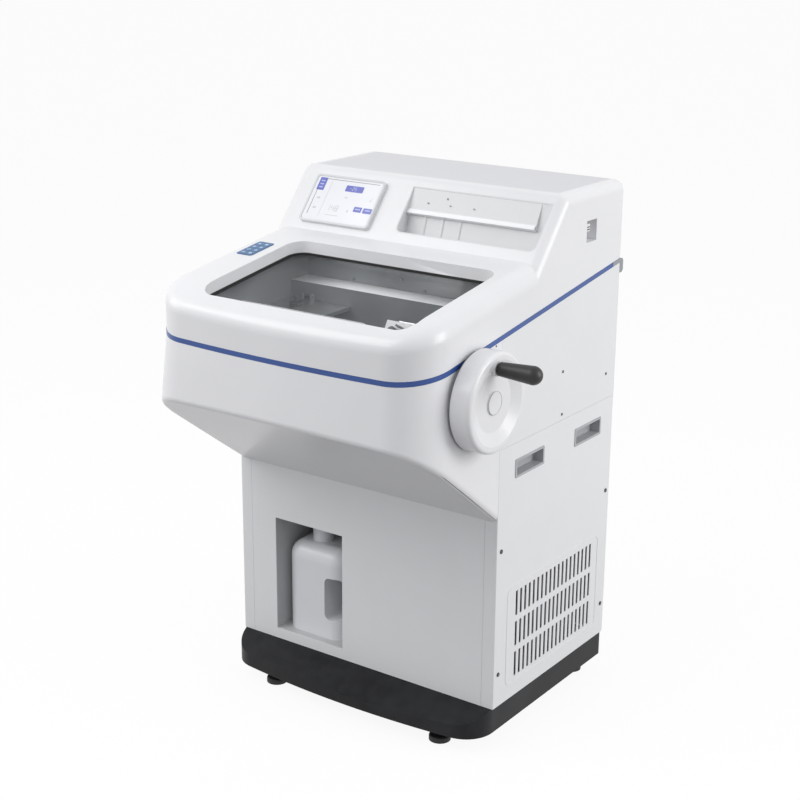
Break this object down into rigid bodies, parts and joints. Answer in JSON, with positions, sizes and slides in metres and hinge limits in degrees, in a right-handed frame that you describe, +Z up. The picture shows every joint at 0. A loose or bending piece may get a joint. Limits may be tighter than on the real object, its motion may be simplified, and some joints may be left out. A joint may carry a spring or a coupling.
{
  "type": "cryostat microtome",
  "caption": "Floor-standing cryostat microtome: cold cabinet with sliding window, touch screen, handwheel-driven microtome and waste bottle, for slicing frozen specimens.",
  "frame": {"origin": "on the floor, under the middle of the object's outer box, with the levelling feet screwed in", "axes": "+X to the object's right, the handwheel's side; +Y to the rear; +Z up"},
  "size_m": [0.8495, 0.796, 1.16],
  "materials": {
    "white_moulding": "smooth satin white moulding",
    "white_paint": "satin white paint",
    "grey_plastic": "matt light grey moulding",
    "plinth_black": "satin near-black paint",
    "bay_grey": "satin light grey paint",
    "box_plastic": "matt dark grey moulding",
    "blue_plastic": "satin blue moulding",
    "black_plastic": "matt black moulding",
    "screen_glass": "glossy screen with plain blocks",
    "keypad_blue": "matt blue membrane with light symbols",
    "clear_glass": "clear polished glass",
    "black_rubber": "matt black rubber",
    "stainless": "brushed stainless steel",
    "steel_paint": "satin dark grey paint",
    "black_paint": "satin black paint",
    "bare_aluminium": "machined aluminium",
    "ground_steel": "ground bright steel",
    "bronze": "turned bronze",
    "foam": "cut foam",
    "bottle_plastic": "milky translucent plastic"
  },
  "bodies": {
    "cabinet": {"top_cover": "white_moulding", "hood_lid": "grey_plastic", "display_bezel": "grey_plastic", "touch_screen": "screen_glass", "tool_tray": "white_moulding", "tool_tray_bar": "white_moulding", "keypad": "keypad_blue", "canopy": "white_moulding", "accent_stripe": "blue_plastic", "stripe_end_caps": "grey_plastic", "side_panels": "white_paint", "panel_grips": "white_moulding", "upper_side_panels": "white_paint", "front_panel": "white_paint", "bottle_bay": "bay_grey", "rear_panel": "white_paint", "base_plinth": "plinth_black", "chassis_frame": "steel_paint", "compressor": "black_paint", "condenser": "black_paint", "fan_shroud": "black_paint", "electronics_box": "box_plastic", "drain_pipe": "grey_plastic", "chamber_liner": "stainless", "chamber_insulation": "foam", "evaporator_cover": "stainless", "evaporator": "bare_aluminium", "freezing_shelf": "bare_aluminium", "section_guard": "white_paint", "window_rails": "black_plastic", "window_gasket": "black_rubber", "shaft_bearings": "bronze", "drive_belt": "black_rubber", "microtome_body": "white_paint", "gear_cover": "stainless", "panel_screws": "black_paint"},
    "handwheel": {"handwheel": "white_moulding", "wheel_shaft": "ground_steel"},
    "handle": {"handle_grip": "black_plastic"},
    "crank": {"crankshaft": "ground_steel"},
    "carriage": {"head_carriage": "bare_aluminium"},
    "specimen_arm": {"specimen_arm": "ground_steel"},
    "orientation_yoke": {"orientation_yoke": "stainless"},
    "specimen_clamp": {"specimen_clamp": "stainless", "specimen_disc": "bare_aluminium"},
    "holder_base": {"holder_base": "white_paint"},
    "blade_holder": {"blade_holder": "white_paint", "pressure_plate": "white_paint", "blade": "ground_steel"},
    "clamp_knob": {"clamp_knob": "black_plastic"},
    "clamp_lever": {"clamp_lever": "black_plastic"},
    "window": {"sliding_window": "clear_glass"},
    "bottle": {"waste_bottle": "bottle_plastic"},
    "bottle_cap": {"bottle_cap": "black_plastic"},
    "heat_extractor": {"heat_extractor": "black_paint"},
    "fan": {"condenser_fan": "black_plastic"},
    "front_left_foot": {"front_left_foot": "black_rubber"},
    "front_right_foot": {"front_right_foot": "black_rubber"},
    "rear_left_foot": {"rear_left_foot": "black_rubber"},
    "rear_right_foot": {"rear_right_foot": "black_rubber"}
  },
  "joints": [
    {"name": "handwheel_turn", "type": "hinge", "parent": "cabinet", "child": "handwheel", "pos_m": [0.30577, -0.19595, 0.812], "axis": [1, 0, 0], "continuous": true},
    {"name": "handle_turn", "type": "hinge", "parent": "handwheel", "child": "handle", "pos_m": [0.37977, -0.19595, 0.882], "axis": [1, 0, 0], "continuous": true},
    {"name": "crankshaft_turn", "type": "hinge", "parent": "cabinet", "child": "crank", "pos_m": [0.17977, -0.06195, 0.735], "axis": [1, 0, 0], "continuous": true},
    {"name": "head_stroke", "type": "slide", "parent": "cabinet", "child": "carriage", "axis": [0, 0, 1], "range_m": [0, 0.059]},
    {"name": "specimen_feed", "type": "slide", "parent": "carriage", "child": "specimen_arm", "axis": [0, -1, 0], "range_m": [0, 0.016]},
    {"name": "specimen_turn_sideways", "type": "hinge", "parent": "specimen_arm", "child": "orientation_yoke", "pos_m": [0.10577, -0.09985, 0.866], "axis": [0, 0, 1], "range_deg": [-8, 8]},
    {"name": "specimen_tilt", "type": "hinge", "parent": "orientation_yoke", "child": "specimen_clamp", "pos_m": [0.10577, -0.11535, 0.866], "axis": [1, 0, 0], "range_deg": [-8, 8]},
    {"name": "blade_holder_slide", "type": "slide", "parent": "cabinet", "child": "holder_base", "axis": [0, -1, 0], "range_m": [0, 0.018]},
    {"name": "clearance_angle", "type": "hinge", "parent": "holder_base", "child": "blade_holder", "pos_m": [0.10577, -0.15695, 0.928], "axis": [1, 0, 0], "range_deg": [-5, 5]},
    {"name": "clamp_knob_turn", "type": "hinge", "parent": "blade_holder", "child": "clamp_knob", "pos_m": [0.06277, -0.17073, 0.90595], "axis": [0, -0.848, 0.5299], "continuous": true},
    {"name": "clamp_lever_turn", "type": "hinge", "parent": "blade_holder", "child": "clamp_lever", "pos_m": [0.10077, -0.16808, 0.91019], "axis": [0, 0.848, -0.5299], "range_deg": [0, 45]},
    {"name": "window_slide", "type": "slide", "parent": "cabinet", "child": "window", "axis": [0, 0.989, 0.1478], "range_m": [0, 0.27]},
    {"name": "bottle_pull_out", "type": "slide", "parent": "cabinet", "child": "bottle", "axis": [0, -1, 0], "range_m": [0, 0.15]},
    {"name": "cap_unscrew", "type": "hinge", "parent": "bottle", "child": "bottle_cap", "pos_m": [-0.24223, -0.01395, 0.378], "axis": [0, 0, 1], "continuous": true},
    {"name": "heat_extractor_lift", "type": "hinge", "parent": "cabinet", "child": "heat_extractor", "pos_m": [-0.26023, -0.03795, 0.906], "axis": [-1, 0, 0], "range_deg": [0, 80]},
    {"name": "fan_turn", "type": "hinge", "parent": "cabinet", "child": "fan", "pos_m": [0.20577, 0.14805, 0.238], "axis": [1, 0, 0], "continuous": true},
    {"name": "front_left_foot_height", "type": "slide", "parent": "cabinet", "child": "front_left_foot", "axis": [0, 0, -1], "range_m": [0, 0.012]},
    {"name": "front_right_foot_height", "type": "slide", "parent": "cabinet", "child": "front_right_foot", "axis": [0, 0, -1], "range_m": [0, 0.012]},
    {"name": "rear_left_foot_height", "type": "slide", "parent": "cabinet", "child": "rear_left_foot", "axis": [0, 0, -1], "range_m": [0, 0.012]},
    {"name": "rear_right_foot_height", "type": "slide", "parent": "cabinet", "child": "rear_right_foot", "axis": [0, 0, -1], "range_m": [0, 0.012]}
  ],
  "couplings": [
    {"joint": "crankshaft_turn", "follows": "handwheel_turn", "ratio": 1}
  ]
}
